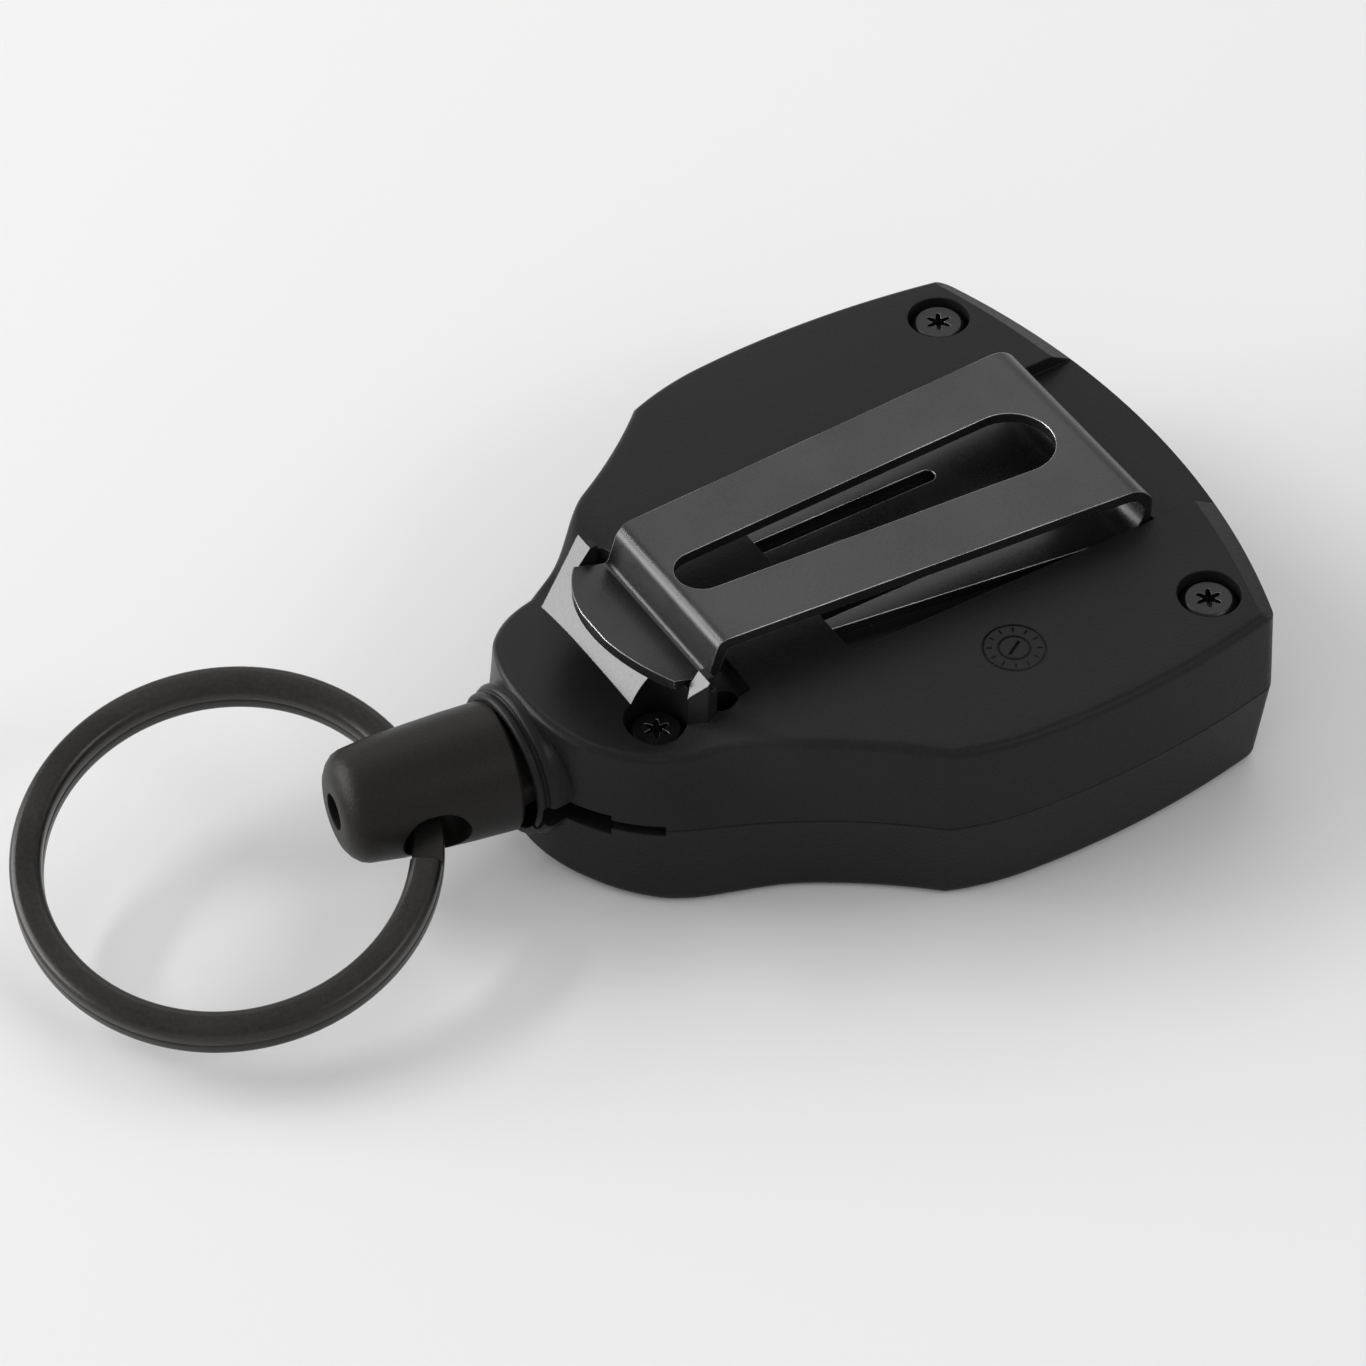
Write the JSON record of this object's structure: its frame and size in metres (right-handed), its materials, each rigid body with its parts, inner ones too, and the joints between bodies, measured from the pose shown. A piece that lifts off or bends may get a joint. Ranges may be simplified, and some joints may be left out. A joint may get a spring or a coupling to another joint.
{
  "type": "belt key clip",
  "caption": "Retracting key holder: a round-bodied case with a spring strip belt clip on its back and a swivelling ring holder with a split ring at its cord mouth.",
  "frame": {"origin": "on the spool axis, in the plane of the front face that the holder lies on, clip side up", "axes": "+X towards the wide end of the case, away from the cord mouth; +Y across the case; +Z out of the clip side"},
  "size_m": [0.1136, 0.0578, 0.0239],
  "materials": {
    "case_plastic": "fine spark-eroded grain, smooth on the neck and ramp",
    "holder_plastic": "fine grain",
    "inner_plastic": "smooth natural",
    "clip_steel": "black finished spring steel, satin, worn bright on its edges",
    "dark_steel": "black finished steel",
    "ring_steel": "dark grey tempered steel, satin",
    "spring_steel": "blued strip",
    "bright_steel": "turned",
    "bearing_brass": "turned"
  },
  "bodies": {
    "case": {"front_housing": "case_plastic", "back_cover": "case_plastic", "case_screws": "dark_steel", "belt_clip": "clip_steel", "clip_rivet": "dark_steel", "rivet_washer": "bright_steel", "axle": "bright_steel", "spring_arbor": "inner_plastic", "axle_washers": "inner_plastic", "axle_ring": "spring_steel", "mouth_bush": "bearing_brass", "power_spring": "spring_steel"},
    "spool": {"spool": "inner_plastic", "spool_cap": "inner_plastic", "spool_bushings": "bearing_brass"},
    "cord_end": {"cord_ferrule": "bright_steel"},
    "holder": {"ring_holder": "holder_plastic", "holder_plug": "holder_plastic"},
    "ring": {"split_ring": "ring_steel"}
  },
  "joints": [
    {"name": "cord_pull", "type": "slide", "parent": "case", "child": "cord_end", "axis": [-0.9863, 0.165, 0], "range_m": [0, 1.2], "stiffness_N_per_m": 1.5, "springref_m": -1},
    {"name": "spool_spin", "type": "hinge", "parent": "case", "child": "spool", "pos_m": [0, 0, 0], "axis": [0, 0, 1], "range_deg": [-1, 3200], "deforming": ["power_spring"]},
    {"name": "holder_swivel", "type": "hinge", "parent": "cord_end", "child": "holder", "pos_m": [-0.03954, 0, 0.0105], "axis": [-0.9863, 0.165, 0], "continuous": true},
    {"name": "ring_swing", "type": "hinge", "parent": "holder", "child": "ring", "pos_m": [-0.04832, 0.00147, 0.0105], "axis": [-0.162, -0.9678, -0.1925], "range_deg": [-80, 80]}
  ],
  "couplings": [
    {"joint": "spool_spin", "follows": "cord_pull", "rad_per_m": 45.455}
  ]
}
